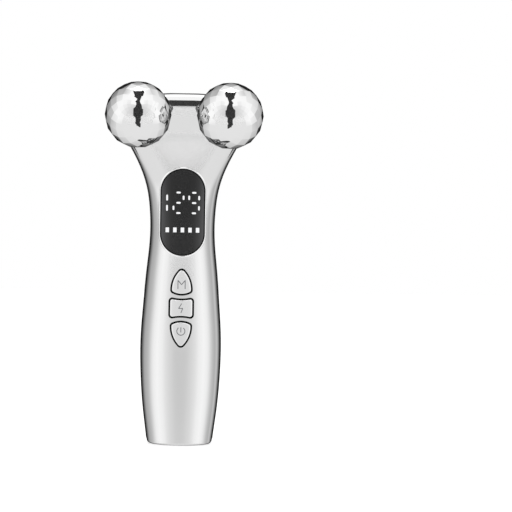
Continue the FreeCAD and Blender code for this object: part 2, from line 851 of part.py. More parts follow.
def faceted_ball(radius, facets, cap_radius):
    half = ring_latitudes(facets, radius, cap_radius)
    rings = [-latitude for latitude in reversed(half[1:])] + half
    first = -(len(half) - 1)

    def corner(ring, place_in_ring):
        latitude = rings[ring]
        offset = 0.5 if (ring + first) % 2 else 0.0
        turn = 2 * math.pi * (place_in_ring + offset) / facets
        out = radius * math.cos(latitude)
        return vector(out * math.cos(turn), -radius * math.sin(latitude), out * math.sin(turn))

    def face(corners):
        return Part.Face(Part.makePolygon(corners + corners[:1]))

    faces = []
    last = len(rings) - 1
    for ring in range(1, last):
        shift = 0 if (ring + first) % 2 else -1
        for index in range(facets):
            beside = corner(ring, index + 1)
            apex = index + (1 if shift == 0 else 0)
            faces.append(face([corner(ring, index), corner(ring - 1, apex), beside, corner(ring + 1, apex)]))
    for ring, inward in ((0, 1), (last, last - 1)):
        shift = 0 if (ring + first) % 2 else -1
        for index in range(facets):
            apex = index + (1 if shift == 0 else 0)
            faces.append(face([corner(ring, index), corner(ring, index + 1), corner(inward, apex)]))
        faces.append(face([corner(ring, index) for index in range(facets)]))
    return Part.makeSolid(Part.makeShell(faces))


BALL_Y = "-ball_forward"
BALL_Z = "ball_height"
cavity_front = size("ball_radius") - size("ball_nose_wall")
ball_block = faceted_ball(size("ball_radius"), int(size("ball_facets")), size("ball_cap_radius"))
ball_cavity = Part.makeSphere(size("ball_radius") - size("ball_wall"))
reach = size("ball_radius")
behind_nose = Part.makeBox(2 * reach, cavity_front + reach, 2 * reach, vector(-reach, -cavity_front, -reach))
hub_opening = bore(0, 0, size("hub_radius") + size("seat_clearance"), -cavity_front, reach)
ball_form = ball_block.cut([ball_cavity.common(behind_nose), hub_opening])

BUSH_BORE = "journal_radius + running_clearance"
BUSH_OUT = "hub_bore_radius - seat_clearance"
REAR_BUSH = "shoulder_distance - end_play"
WASHER_END = "(front_bush_end + end_play + washer_thickness)"
CLIP_START = "(front_bush_end + end_play + washer_thickness + seat_clearance)"
GROOVE_END = "(front_bush_end + end_play + washer_thickness + 3 * seat_clearance + clip_thickness)"
AXLE_REAR = "(ball_forward + bracket_front + bracket_depth)"


def ring_corners(inner, outer, low, high):
    return [(inner, low), (outer, low), (outer, high), (inner, high)]


for side, sign in SIDES:
    x = "%sball_spacing / 2" % ("-" if sign < 0 else "")
    spot = (x, BALL_Y, BALL_Z)
    place(shaped(side + "_ball", ball_form), *spot)
    turned(side + "_hub", "XY_Plane", ring_corners(
        "hub_bore_radius", "hub_radius", "ball_nose_wall - ball_radius", "hub_rear"), *spot)
    turned(side + "_rear_bush", "XY_Plane", ring_corners(
        BUSH_BORE, BUSH_OUT, REAR_BUSH + " - bush_length", REAR_BUSH), *spot)
    turned(side + "_front_bush", "XY_Plane", ring_corners(
        BUSH_BORE, BUSH_OUT, "-front_bush_end", "bush_length - front_bush_end"), *spot)
    turned(side + "_washer", "XY_Plane", ring_corners(
        BUSH_BORE, "washer_radius", "-" + WASHER_END, "-front_bush_end - end_play"), *spot)
    turned(side + "_clip", "XY_Plane", ring_corners(
        "journal_radius - groove_depth + seat_clearance", "clip_radius",
        "-" + CLIP_START + " - clip_thickness", "-" + CLIP_START), *spot)
    turned(side + "_axle", "XY_Plane", [
        ("0", "-" + GROOVE_END + " - axle_end_margin"),
        ("journal_radius", "-" + GROOVE_END + " - axle_end_margin"),
        ("journal_radius", "-" + GROOVE_END),
        ("journal_radius - groove_depth", "-" + GROOVE_END),
        ("journal_radius - groove_depth", "-" + WASHER_END),
        ("journal_radius", "-" + WASHER_END),
        ("journal_radius", "shoulder_distance"),
        ("shaft_radius", "shoulder_distance"),
        ("shaft_radius", AXLE_REAR),
        ("0", AXLE_REAR),
    ], *spot)
    turned(side + "_collar", "XY_Plane", [
        ("shaft_radius + seat_clearance", "collar_nose_distance"),
        ("collar_neck_radius", "collar_nose_distance"),
        ("collar_neck_radius", "collar_step_distance"),
        ("collar_radius", "collar_step_distance"),
        ("collar_radius", "collar_step_distance + collar_disc_thickness"),
        ("collar_neck_radius", "collar_step_distance + collar_disc_thickness"),
        ("collar_neck_radius", "ball_forward + bracket_front"),
        ("shaft_radius + seat_clearance", "ball_forward + bracket_front"),
    ], *spot)

# Bracket in the head, with its screws and contact strips

barrels = []
bracket_holes = []
bracket_screws = []
for side, sign in (("left", "-"), ("right", "")):
    axle_x = sign + "ball_spacing / 2"
    screw_x = sign + "bracket_screw_x"
    barrels.append(rod(side + "_barrel", axle_x, "bracket_front", BALL_Z,
                       "bracket_barrel_radius", "bracket_depth"))
    bracket_holes.append(rod(side + "_axle_hole", axle_x, "bracket_front - over_travel", BALL_Z,
                             "shaft_radius + seat_clearance", "bracket_depth + 2 * over_travel"))
    bracket_holes.append(rod(side + "_bracket_hole", screw_x, "bracket_front - over_travel", BALL_Z,
                             "screw_radius + pilot_clearance", "bracket_bar_depth + 2 * over_travel"))
    bracket_screws.append(screw(side + "_bracket_screw", screw_x, BALL_Z,
                                "bracket_front + bracket_bar_depth", "bracket_bar_depth"))
bar = box("bracket_bar", "-ball_spacing / 2", "bracket_front", "ball_height - bracket_bar_height / 2",
          "ball_spacing", "bracket_bar_depth", "bracket_bar_height")
bracket_blank = fuse("bracket_blank", [bar] + barrels)
keep("axle_bracket", cut("axle_bracket", bracket_blank, fuse("bracket_holes", bracket_holes)))
group = doc.addObject("Part::Compound", "bracket_screws")
group.Links = bracket_screws
keep("bracket_screws", group)

CONTACT_Y = "bracket_front + bracket_depth"
for side, sign in SIDES:
    outer_end = "ball_spacing / 2 + contact_width / 2"
    x = "-(" + outer_end + ")" if sign < 0 else outer_end + " - contact_length"
    keep(side + "_contact", box(side + "_contact", x, CONTACT_Y, "ball_height - contact_width / 2",
                                "contact_length", "contact_thickness", "contact_width"))

# Leads inside the casing


def lead(points):
    """A round wire along straight runs joined by tangent arcs of one bend radius."""
    bend = size("lead_bend")
    edges = []
    start = points[0]
    for before, corner, after in zip(points, points[1:], points[2:]):
        into = (corner - before).normalize()
        away = (after - corner).normalize()
        turn = into.getAngle(away)
        trim = bend * math.tan(turn / 2)
        enter = corner - into * trim
        leave = corner + away * trim
        inward = (away - into).normalize()
        middle = corner + inward * (bend / math.cos(turn / 2) - bend)
        edges.append(Part.makeLine(start, enter))
        edges.append(Part.Arc(enter, middle, leave).toShape())
        start = leave
    edges.append(Part.makeLine(start, points[-1]))
    path = Part.Wire(edges)
    ring = Part.Wire([Part.makeCircle(size("lead_radius"), points[0], points[1] - points[0])])
    return path.makePipeShell([ring], True, False)


board_rear = number(PAD_Y)
board_middle = number("board_front + board_thickness / 2")
lead_rest = number(CONTACT_Y + " + contact_thickness + lead_radius")
contact_tail = number("ball_spacing / 2 + contact_width / 2 - contact_length + lead_radius")
lead_start = size("board_top")
for side, sign in SIDES:
    near = sign * size("electrode_lead_x")
    tail = sign * contact_tail
    shaped(side + "_lead", lead([
        vector(near, board_middle, lead_start),
        vector(near, board_middle, lead_start + size("electrode_lead_rise")),
        vector(tail, lead_rest, size("ball_height") - 2 * size("electrode_lead_rise")),
        vector(tail, lead_rest, size("ball_height")),
    ]))

holder_middle = number(HOLDER_Y + " + holder_reach / 2")
cap_top = number(HOLDER_BOTTOM + " + " + HOLDER_HEIGHT)
foot_level = number(HOLDER_BOTTOM + " + holder_wall / 2")
side_run = size("holder_half_width") + size("lead_bend") + size("lead_radius") + size("holder_clearance")
lead_back = number(HOLDER_Y + " + lead_bend + lead_radius")
rise = 2 * size("lead_bend")
upper = lead([
    vector(0, holder_middle, cap_top),
    vector(0, holder_middle, cap_top + rise),
    vector(0, board_rear, cap_top + rise),
])
lower = lead([
    vector(size("holder_half_width"), lead_back, foot_level),
    vector(side_run, lead_back, foot_level),
    vector(side_run, lead_back, size("board_bottom") + rise),
    vector(side_run, board_rear, size("board_bottom") + rise),
])
shaped("battery_leads", Part.makeCompound([upper, lower]))
charge_level = number("wall + charge_board_height / 2")
charge_front = number("socket_back - socket_thickness / 2 - charge_board_thickness")
shaped("charge_lead", lead([
    vector(-side_run, charge_front, charge_level),
    vector(-side_run, lead_back, charge_level),
    vector(-side_run, lead_back, size("board_bottom") + rise),
    vector(-side_run, board_rear, size("board_bottom") + rise),
]))

# Every feature and piece is sound before anything is written

doc.recompute()
for item in doc.Objects:
    for state in ("Invalid", "Error"):
        if state in item.State:
            raise RuntimeError("feature failed: " + item.Label)
os.makedirs("parts", exist_ok=True)
for label, item in pieces.items():
    if item.Shape.isNull() or not item.Shape.isValid() or not item.Shape.Solids:
        raise RuntimeError("piece is not sound: " + label)
for label, item in pieces.items():
    item.Shape.exportStep(os.path.join("parts", label + ".step"))
    print(label, len(item.Shape.Solids), round(item.Shape.Volume, 1))
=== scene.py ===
import bpy
import json
import math
import numpy as np
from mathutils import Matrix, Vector
from mathutils.bvhtree import BVHTree


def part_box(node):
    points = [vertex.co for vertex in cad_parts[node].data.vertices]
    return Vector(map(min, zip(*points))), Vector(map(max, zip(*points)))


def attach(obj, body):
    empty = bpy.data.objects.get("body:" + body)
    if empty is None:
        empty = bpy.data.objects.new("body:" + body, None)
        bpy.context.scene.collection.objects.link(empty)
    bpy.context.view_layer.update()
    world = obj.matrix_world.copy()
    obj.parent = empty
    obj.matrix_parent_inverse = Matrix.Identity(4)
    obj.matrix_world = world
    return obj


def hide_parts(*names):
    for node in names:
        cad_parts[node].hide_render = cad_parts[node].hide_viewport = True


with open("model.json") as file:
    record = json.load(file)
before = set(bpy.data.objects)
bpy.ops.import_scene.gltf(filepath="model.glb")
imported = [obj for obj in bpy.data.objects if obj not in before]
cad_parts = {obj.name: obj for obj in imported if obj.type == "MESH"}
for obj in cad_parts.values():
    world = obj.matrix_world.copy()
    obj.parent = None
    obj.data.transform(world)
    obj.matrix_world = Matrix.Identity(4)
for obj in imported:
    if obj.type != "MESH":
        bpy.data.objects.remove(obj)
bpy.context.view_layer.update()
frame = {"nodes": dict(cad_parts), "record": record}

MM = 0.001
HANDLE = "handle"
SIDES = (("left", -1), ("right", 1))

# Edges sharper than these angles, in degrees, stay sharp in the shading
SHARP_ANGLE = 30
KEY_SHARP_ANGLE = 50
RING_SHARP_ANGLE = 25
FACET_SHARP_ANGLE = 8

# The casing's level sections, in millimetres: height, half width, half depth, forward shift
SECTIONS = (
    (0.0, 15.1, 15.1, 0.0),
    (22.0, 17.8, 17.5, 0.0),
    (46.0, 18.8, 19.3, 0.0),
    (74.0, 17.1, 18.9, 0.0),
    (103.0, 15.0, 17.0, 0.6),
    (119.0, 16.6, 15.6, 3.4),
    (131.0, 20.7, 14.0, 6.8),
    (139.5, 25.1, 12.0, 9.6),
    (146.0, 27.6, 10.8, 12.0),
)
WAIST_HEIGHT = 103.0
HEAD_HEIGHT = 146.0
HEAD_SQUARENESS = 3.0
TOP_HEIGHT = 162.6
TOP_FORWARD = 18.6
HANDLE_SECTIONS = 16
DOME_STEPS = (0.3, 0.55, 0.74, 0.87, 0.945, 0.982, 0.996)
DOME_POWER = 3.0

# Lens, in millimetres
LENS_WIDTH = 20.9
LENS_LENGTH = 40.2
LENS_HEIGHT = 107.9

# Buttons, in millimetres: the upper and lower ones are pointed, and the middle one is a block whose
# upper and lower edges are hollow. The dip is how far such an edge bows or is hollowed.
KEY_HEIGHT = {"mode": 75.8, "level": 63.8, "power": 51.8}
KEY_PROUD = 0.35
POINTED_WIDTH = 9.0
POINTED_HEIGHT = 11.1
SQUARE_WIDTH = 10.45
SQUARE_HEIGHT = 8.3
KEY_CORNER = 1.2
KEY_TIP = 1.5
POINTED_DIP = 0.8
SQUARE_DIP = 0.45
KEY_ROUND = 0.65
KEY_WALL = 2.4


# Small tools for objects

MERGE_REACH = 0.0005 * MM


def pick(obj):
    """Leaves one object selected and active."""
    bpy.ops.object.select_all(action="DESELECT")
    obj.select_set(True)
    bpy.context.view_layer.objects.active = obj


def new_object(name, points, faces):
    """A new mesh object, linked into the scene."""
    mesh = bpy.data.meshes.new(name)
    mesh.from_pydata([tuple(point) for point in points], [], faces)
    mesh.update()
    obj = bpy.data.objects.new(name, mesh)
    bpy.context.scene.collection.objects.link(obj)
    return obj


def merged_copy(node, name):
    """A copy of a CAD node whose loose triangles are joined at their corners."""
    obj = bpy.data.objects.new(name, frame["nodes"][node].data.copy())
    bpy.context.scene.collection.objects.link(obj)
    obj.data.materials.clear()
    pick(obj)
    bpy.ops.mesh.customdata_custom_splitnormals_clear()
    bpy.ops.object.mode_set(mode="EDIT")
    bpy.ops.mesh.select_all(action="SELECT")
    bpy.ops.mesh.remove_doubles(threshold=MERGE_REACH)
    bpy.ops.object.mode_set(mode="OBJECT")
    return obj


def face_outwards(obj):
    """Turns all the faces of a closed piece outwards."""
    pick(obj)
    bpy.ops.object.mode_set(mode="EDIT")
    bpy.ops.mesh.select_all(action="SELECT")
    bpy.ops.mesh.normals_make_consistent(inside=False)
    bpy.ops.object.mode_set(mode="OBJECT")


def smooth_by_angle(obj, degrees):
    """Shades a piece smooth, apart from its edges sharper than the angle."""
    pick(obj)
    bpy.ops.object.shade_smooth_by_angle(angle=math.radians(degrees))


def ring_faces(low, high, count):
    """The faces between two rings of points, given by the number of their first points."""
    return [
        (low + index, low + (index + 1) % count, high + (index + 1) % count, high + index)
        for index in range(count)
    ]


def dress(obj, body, slot, *nodes):
    """Seats a piece on its body and hides the CAD nodes it stands for. Its slot is not used."""
    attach(obj, body)
    if nodes:
        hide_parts(*nodes)


# Materials


def linear(code):
    """An sRGB hex colour as linear red, green, blue and alpha."""
    shares = [int(code[start:start + 2], 16) / 255 for start in (1, 3, 5)]
    colour = [share / 12.92 if share <= 0.04045 else ((share + 0.055) / 1.055) ** 2.4 for share in shares]
    return colour + [1.0]


def add(tree, kind, links=None, stops=(), **settings):
    """Adds a node with its settings. Links give its inputs, from a node's first output, a socket or a
    value, and stops give a colour ramp its places and hex colours."""
    made = tree.nodes.new(kind)
    for name, amount in settings.items():
        setattr(made, name, amount)
    for name, source in (links or {}).items():
        if isinstance(source, bpy.types.Node):
            tree.links.new(source.outputs[0], made.inputs[name])
        elif isinstance(source, bpy.types.NodeSocket):
            tree.links.new(source, made.inputs[name])
        else:
            made.inputs[name].default_value = source
    if stops:
        elements = made.color_ramp.elements
        while len(elements) < len(stops):
            elements.new(1.0)
        for element, (place, code) in zip(elements, stops):
            element.position = place
            element.color = linear(code)
    return made


def start_material(name, **sockets):
    """A material with its shader's own sockets set, and the node tree to add detail to."""
    material = bpy.data.materials.new(name)
    material.use_nodes = True
    tree = material.node_tree
    shader = tree.nodes["Principled BSDF"]
    for socket, amount in sockets.items():
        shader.inputs[socket.replace("_", " ")].default_value = amount
    return material, tree, shader


# Nearly all values of a noise texture lie between these
NOISE_LOW = 0.3
NOISE_HIGH = 0.7

# Layers of noise in a drift and in a grain, and how strongly a grain shows
DRIFT_DETAIL = 2.0
GRAIN_DETAIL = 3.0
GRAIN_STRENGTH = 0.4


def mottled(tree, size_mm, low, high):
    """A value that drifts between two limits over patches of the given size."""
    place = add(tree, "ShaderNodeTexCoord")
    noise = add(tree, "ShaderNodeTexNoise", {
        "Vector": place.outputs["Object"], "Scale": 1 / (size_mm * MM), "Detail": DRIFT_DETAIL,
    })
    return add(tree, "ShaderNodeMapRange", {
        "Value": noise.outputs["Fac"], "From Min": NOISE_LOW, "From Max": NOISE_HIGH,
        "To Min": low, "To Max": high,
    })


def surface_grain(tree, size_mm, depth_mm, strength):
    """A fine grain that tilts the surface, with its grain size and height in millimetres."""
    place = add(tree, "ShaderNodeTexCoord")
    noise = add(tree, "ShaderNodeTexNoise", {
        "Vector": place.outputs["Object"], "Scale": 1 / (size_mm * MM), "Detail": GRAIN_DETAIL,
    })
    return add(tree, "ShaderNodeBump", {
        "Height": noise.outputs["Fac"], "Strength": strength, "Distance": depth_mm * MM,
    })


def plain_finish(name, low, high, patch_mm, roughness, grain_mm, grain_depth_mm, **sockets):
    """A finish whose colour drifts between two tones over patches, with a fine grain and with gloss that
    drifts over patches a third as large."""
    material, tree, shader = start_material(name, **sockets)
    drift = mottled(tree, patch_mm, 0.0, 1.0)
    tone = add(tree, "ShaderNodeValToRGB", {"Fac": drift}, stops=((0.0, low), (1.0, high)))
    tree.links.new(tone.outputs["Color"], shader.inputs["Base Color"])
    gloss = mottled(tree, patch_mm / 3, *roughness)
    tree.links.new(gloss.outputs["Result"], shader.inputs["Roughness"])
    bump = surface_grain(tree, grain_mm, grain_depth_mm, GRAIN_STRENGTH)
    tree.links.new(bump.outputs["Normal"], shader.inputs["Normal"])
    return material


# Size of the patches that handling leaves on chrome, in millimetres
HANDLING_PATCH = 9.0


# Bright chrome plated on polished ABS: a neutral mirror. Handling leaves patches of slightly duller
# gloss. Chromium mirrors less at a glancing angle, and the tint for that angle makes this stronger
# than it is, so that the outline is dark.
def chrome_plate(name, code, glancing, roughness):
    """A chrome finish from its colour, its colour at a glancing angle and the limits of its roughness."""
    material, tree, shader = start_material(name, Base_Color=linear(code), Metallic=1.0,
                                            Specular_Tint=linear(glancing))
    gloss = mottled(tree, HANDLING_PATCH, *roughness)
    tree.links.new(gloss.outputs["Result"], shader.inputs["Roughness"])
    return material


CHROME = chrome_plate("Chrome_plated_ABS", "#E6E6E6", glancing="#161616", roughness=(0.035, 0.065))
KEY_CHROME = chrome_plate("Satin_bright_chrome_keys", "#F2F2F2", glancing="#606060", roughness=(0.05, 0.09))
BALL_CHROME = chrome_plate("Polished_chrome_facets", "#ECECEC", glancing="#202020", roughness=(0.012, 0.03))
RIM_CHROME = chrome_plate("Burnished_chrome_rim", "#FAFAFA", glancing="#C8C8C8", roughness=(0.14, 0.2))


# Distances from the middle of the lens at which its painted light starts and is fullest, in
# millimetres, and the size of a wipe mark
SIDE_LIGHT_START = 5.4
SIDE_LIGHT_FULL = 9.4
WIPE_MARK = 2.5


# Polished acrylic with black print behind it: a clear hard gloss with faint wipe marks. Its colour is
# painted lighter towards the long sides: painted light.
def smoked_acrylic():
    """The lens's finish."""
    material, tree, shader = start_material("Smoked_acrylic", IOR=1.49)
    place = add(tree, "ShaderNodeTexCoord")
    ways = add(tree, "ShaderNodeSeparateXYZ", {0: place.outputs["Object"]})
    aside = add(tree, "ShaderNodeMath", {0: ways.outputs["X"]}, operation="ABSOLUTE")
    # The colour grows lighter from the middle towards the long sides: painted light.
    edge = add(tree, "ShaderNodeMapRange", {
        "Value": aside, "From Min": SIDE_LIGHT_START * MM, "From Max": SIDE_LIGHT_FULL * MM,
    })
    stops = ((0.0, "#050506"), (0.5, "#1C1C1D"), (1.0, "#38383A"))
    tone = add(tree, "ShaderNodeValToRGB", {"Fac": edge}, stops=stops)
    tree.links.new(tone.outputs["Color"], shader.inputs["Base Color"])
    gloss = mottled(tree, WIPE_MARK, low=0.05, high=0.10)
    tree.links.new(gloss.outputs["Result"], shader.inputs["Roughness"])
    return material


LENS = smoked_acrylic()

# Black ABS as moulded inside the casing: dull, with a spark-eroded grain of about 0.2 mm.
BLACK_ABS = plain_finish("Moulded_black_ABS", "#08080A", "#0E0E10", patch_mm=4.0,
                         roughness=(0.5, 0.65), grain_mm=0.2, grain_depth_mm=0.006)

# Dead black and soft, with hardly any gloss: the bead in the parting line and the ring round the lens,
# painted shade that stands for the shadow in these gaps.
GAP_SHADE = plain_finish("Black_gap_shade", "#050505", "#080808", patch_mm=3.0,
                    roughness=(0.6, 0.75), grain_mm=0.15, grain_depth_mm=0.004, Specular_IOR_Level=0.1)

# Grey pad-printed ink: flat, a little uneven at the grain of the print.
INK = plain_finish("Grey_pad_print", "#6C6D70", "#7A7B7E", patch_mm=1.2,
                   roughness=(0.4, 0.55), grain_mm=0.1, grain_depth_mm=0.002)

# Turned and moulded acetal: waxy white. Its tool marks are drawn coarser than they are, to show.
ACETAL = plain_finish("Acetal", "#DCDCD9", "#E4E4E1", patch_mm=5.0,
                      roughness=(0.3, 0.42), grain_mm=1.2, grain_depth_mm=0.002)

# Ground stainless steel: grey mirror broken by the grinding, which is drawn coarser than it is, to show.
STEEL = plain_finish("Ground_stainless_steel", "#B4B5B8", "#C0C1C4", patch_mm=4.0,
                     roughness=(0.14, 0.2), grain_mm=2.0, grain_depth_mm=0.001, Metallic=1.0)

# Solder mask over glass laminate, with the weave faintly showing through.
LAMINATE = plain_finish("Green_solder_mask", "#0E3A22", "#15492C", patch_mm=1.5,
                        roughness=(0.25, 0.4), grain_mm=0.5, grain_depth_mm=0.004)

# Heat-shrink wrap on a cell: satin blue film with small wrinkles.
WRAP = plain_finish("Heat_shrink_wrap", "#1C3F78", "#254B88", patch_mm=6.0,
                    roughness=(0.28, 0.4), grain_mm=1.2, grain_depth_mm=0.02)

# Closed-cell foam tape: dark, open-pored on its cut edges.
FOAM = plain_finish("Closed_cell_foam", "#1E1E20", "#2C2C2E", patch_mm=0.8,
                    roughness=(0.85, 0.95), grain_mm=0.5, grain_depth_mm=0.06)

# Rolled spring brass: warm, satin, with faint tarnish.
BRASS = plain_finish("Rolled_spring_brass", "#B99C58", "#C8AE6C", patch_mm=1.5,
                     roughness=(0.22, 0.36), grain_mm=0.1, grain_depth_mm=0.001, Metallic=1.0)

# Extruded wire cover: bright red vinyl with a slight drag texture.
WIRE = plain_finish("Red_vinyl_wire_cover", "#8E1512", "#A01A16", patch_mm=2.0,
                    roughness=(0.35, 0.5), grain_mm=0.2, grain_depth_mm=0.004)

# Pressed ferrite with lacquered winding: near black, a little brown.
FERRITE = plain_finish("Pressed_ferrite", "#1B1A1A", "#2A2523", patch_mm=1.0,
                       roughness=(0.5, 0.7), grain_mm=0.25, grain_depth_mm=0.01)

# Milky light guide: soft white, slightly glossy.
GUIDE = plain_finish("Milky_light_guide", "#E4E4E2", "#EEEEEC", patch_mm=4.0,
                     roughness=(0.25, 0.35), grain_mm=0.4, grain_depth_mm=0.001)


def lit_marks():
    """White faces of the light guide, lit evenly from behind."""
    material, tree, shader = start_material(
        "Lit_white_marks", Base_Color=linear("#404244"), Roughness=0.35,
        Emission_Color=linear("#FDFEFF"), Emission_Strength=0.9,
    )
    bump = surface_grain(tree, size_mm=0.3, depth_mm=0.002, strength=0.3)
    tree.links.new(bump.outputs["Normal"], shader.inputs["Normal"])
    return material


MARKS = lit_marks()


# The casing's free form


def smooth_between(stops, height):
    """The smooth curve through height and value stops, straight on past either end."""
    heights = [stop[0] for stop in stops]
    values = [stop[1] for stop in stops]
    gaps = [high - low for low, high in zip(heights, heights[1:])]
    rates = [(high - low) / gap for low, high, gap in zip(values, values[1:], gaps)]
    slopes = [rates[0]]
    for index in range(1, len(rates)):
        before, after = gaps[index - 1], gaps[index]
        slopes.append((after * rates[index - 1] + before * rates[index]) / (before + after))
    slopes.append(rates[-1])
    if height <= heights[0]:
        return values[0] + slopes[0] * (height - heights[0])
    last = len(gaps) - 1
    span = next(index for index, top in enumerate(heights[1:]) if height <= top or index == last)
    gap = gaps[span]
    share = (height - heights[span]) / gap
    rest = 1 - share
    return (
        values[span] * rest * rest * (1 + 2 * share)
        + slopes[span] * gap * share * rest * rest
        + values[span + 1] * share * share * (1 + 2 * rest)
        - slopes[span + 1] * gap * share * share * rest
    )


def casing_sections():
    """Height, half width, half depth, forward shift and squareness of each section, base to top."""
    rows = []
    for index in range(-1, HANDLE_SECTIONS + 1):
        height = HEAD_HEIGHT * index / HANDLE_SECTIONS
        width, depth, forward = [
            smooth_between([(row[0], row[column]) for row in SECTIONS], height) for column in (1, 2, 3)
        ]
        share = min(1.0, max(0.0, (height - WAIST_HEIGHT) / (HEAD_HEIGHT - WAIST_HEIGHT)))
        rows.append((height, width, depth, forward, 2 + (HEAD_SQUARENESS - 2) * share))
    _, width, depth, forward, power = rows[-1]
    rise = TOP_HEIGHT - HEAD_HEIGHT
    for step in DOME_STEPS:
        share = (1 - step ** DOME_POWER) ** (1 / DOME_POWER)
        lean = (TOP_FORWARD - forward) * step
        rows.append((HEAD_HEIGHT + rise * step, width * share, depth * share, forward + lean, power))
    return np.array(rows)


def smooth_rows(knots, rows, spots):
    """The natural cubic curve through the rows at their knots, read at the spots."""
    gaps = np.diff(knots)
    system = np.eye(len(knots))
    right = np.zeros_like(rows)
    for index in range(1, len(knots) - 1):
        before, after = gaps[index - 1], gaps[index]
        system[index, index - 1:index + 2] = before, 2 * (before + after), after
        rate_before = (rows[index] - rows[index - 1]) / before
        rate_after = (rows[index + 1] - rows[index]) / after
        right[index] = 6 * (rate_after - rate_before)
    bend = np.linalg.solve(system, right)
    span = np.clip(np.searchsorted(knots, spots) - 1, 0, len(gaps) - 1)
    gap = gaps[span][:, None]
    past = (spots - knots[span])[:, None]
    left = gap - past
    return (
        bend[span] * left ** 3 / (6 * gap)
        + bend[span + 1] * past ** 3 / (6 * gap)
        + (rows[span] / gap - bend[span] * gap / 6) * left
        + (rows[span + 1] / gap - bend[span + 1] * gap / 6) * past
    )


RINGS_PER_SECTION = 12
RING_POINTS = 160


def dense_rows():
    """Closely spaced sections on the smooth curve through the casing's sections."""
    rows = casing_sections()
    steps = np.hypot(np.diff(rows[:, 0]), np.diff(rows[:, 1]) / 2 + np.diff(rows[:, 3]) / 2)
    knots = np.concatenate(([0.0], np.cumsum(np.abs(steps))))
    spots = np.concatenate([
        np.linspace(low, high, RINGS_PER_SECTION, endpoint=False) for low, high in zip(knots, knots[1:])
    ] + [knots[-1:]])
    return smooth_rows(knots, rows, spots)


CASING_ROWS = dense_rows()


def casing_skin():
    """The casing's outer face as one fine net, with no openings. It lends its shading and is removed."""
    turns = math.pi / 2 + 2 * math.pi * np.arange(RING_POINTS) / RING_POINTS
    points = []
    for height, width, depth, forward, power in CASING_ROWS:
        across = np.sign(np.cos(turns)) * np.abs(np.cos(turns)) ** (2 / power) * width
        along = np.sign(np.sin(turns)) * np.abs(np.sin(turns)) ** (2 / power) * depth - forward
        points.extend((x * MM, y * MM, height * MM) for x, y in zip(across, along))
    rings = len(points) // RING_POINTS
    faces = []
    for ring in range(rings - 1):
        faces.extend(ring_faces(ring * RING_POINTS, (ring + 1) * RING_POINTS, RING_POINTS))
    top = (rings - 1) * RING_POINTS
    faces.append(tuple(range(top, top + RING_POINTS)))
    net = new_object("casing_skin", points, faces)
    net.data.shade_smooth()
    return net


def front_face(x, z, grow=0.0):
    """The point on the casing's front at x and height z, in millimetres, grown outwards."""
    width, depth, forward, power = [
        np.interp(z, CASING_ROWS[:, 0], CASING_ROWS[:, column]) for column in (1, 2, 3, 4)
    ]
    share = max(0.0, 1 - abs(x / (width + grow)) ** power) ** (1 / power)
    return Vector((x * MM, (-forward - (depth + grow) * share) * MM, z * MM))


skin = casing_skin()
SKIN_REACH = 0.25 * MM


def borrow_normals(obj):
    """Gives a cut piece the unbroken shading of the casing's skin wherever it lies on that skin."""
    pick(obj)
    transfer = obj.modifiers.new("Skin shading", "DATA_TRANSFER")
    transfer.object = skin
    transfer.use_loop_data = True
    transfer.data_types_loops = {"CUSTOM_NORMAL"}
    transfer.loop_mapping = "POLYINTERP_NEAREST"
    transfer.use_max_distance = True
    transfer.max_distance = SKIN_REACH
    bpy.ops.object.modifier_apply(modifier=transfer.name)


skin_tree = BVHTree.FromPolygons(
    [vertex.co for vertex in skin.data.vertices],
    [tuple(face.vertices) for face in skin.data.polygons],
)

# A face is plated if it lies this close to the skin and faces nearly the same way, or if it belongs to
# the base: it faces down, or faces away from the charging socket on the rounded edge. The other faces
# are black: inside that is bare plastic, and in the openings it is painted shade for the gaps round
# the lens and buttons.
PLATED_REACH = 0.12 * MM
SAME_WAY = 0.7
DOWNWARDS = -0.5
BASE_EDGE = 1.9 * MM
SOCKET_ROOM = 9.0 * MM


def shows_chrome(face):
    """True for the plated chrome faces of a casing half; the walls of its openings get painted shade
    instead.
    """
    _, normal, _, distance = skin_tree.find_nearest(face.center)
    if distance < PLATED_REACH and normal.dot(face.normal) > SAME_WAY:
        return True
    if face.center.z > BASE_EDGE:
        return False
    out = Vector((face.center.x, face.center.y, 0))
    return face.normal.z < DOWNWARDS or (out.length > SOCKET_ROOM and face.normal.dot(out) > 0)


def casing_half(node, name):
    """A plated half: chrome outside, bare black plastic inside, and black in its openings as painted shade
    for the gaps.
    """
    half = merged_copy(node, name)
    half.data.materials.append(CHROME)
    half.data.materials.append(BLACK_ABS)
    for face in half.data.polygons:
        face.material_index = 0 if shows_chrome(face) else 1
    smooth_by_angle(half, SHARP_ANGLE)
    borrow_normals(half)
    dress(half, HANDLE, "plated_abs", node)


casing_half("front_shell", "casing_front")
casing_half("rear_shell", "casing_rear")

# Lens and lit marks

# The black print covers the edge of each mark by this much, in millimetres
MARK_MASK = 0.15


def loose_parts(mesh):
    """The vertex numbers of each separate part of a mesh."""
    part_of = list(range(len(mesh.vertices)))

    def root(spot):
        """The vertex that stands for the part a vertex is in."""
        while part_of[spot] != spot:
            spot = part_of[spot]
        return spot

    for edge in mesh.edges:
        part_of[root(edge.vertices[0])] = root(edge.vertices[1])
    parts = {}
    for spot in range(len(part_of)):
        parts.setdefault(root(spot), []).append(spot)
    return parts.values()


def shrink(mesh, spots, margin):
    """Draws a part in by a margin on all four sides, as seen from the front."""
    for axis in (0, 2):
        places = [mesh.vertices[spot].co[axis] for spot in spots]
        low, high = min(places), max(places)
        scale = 1 - 2 * margin * MM / (high - low)
        for spot in spots:
            place = mesh.vertices[spot].co[axis]
            mesh.vertices[spot].co[axis] = (low + high) / 2 + (place - (low + high) / 2) * scale


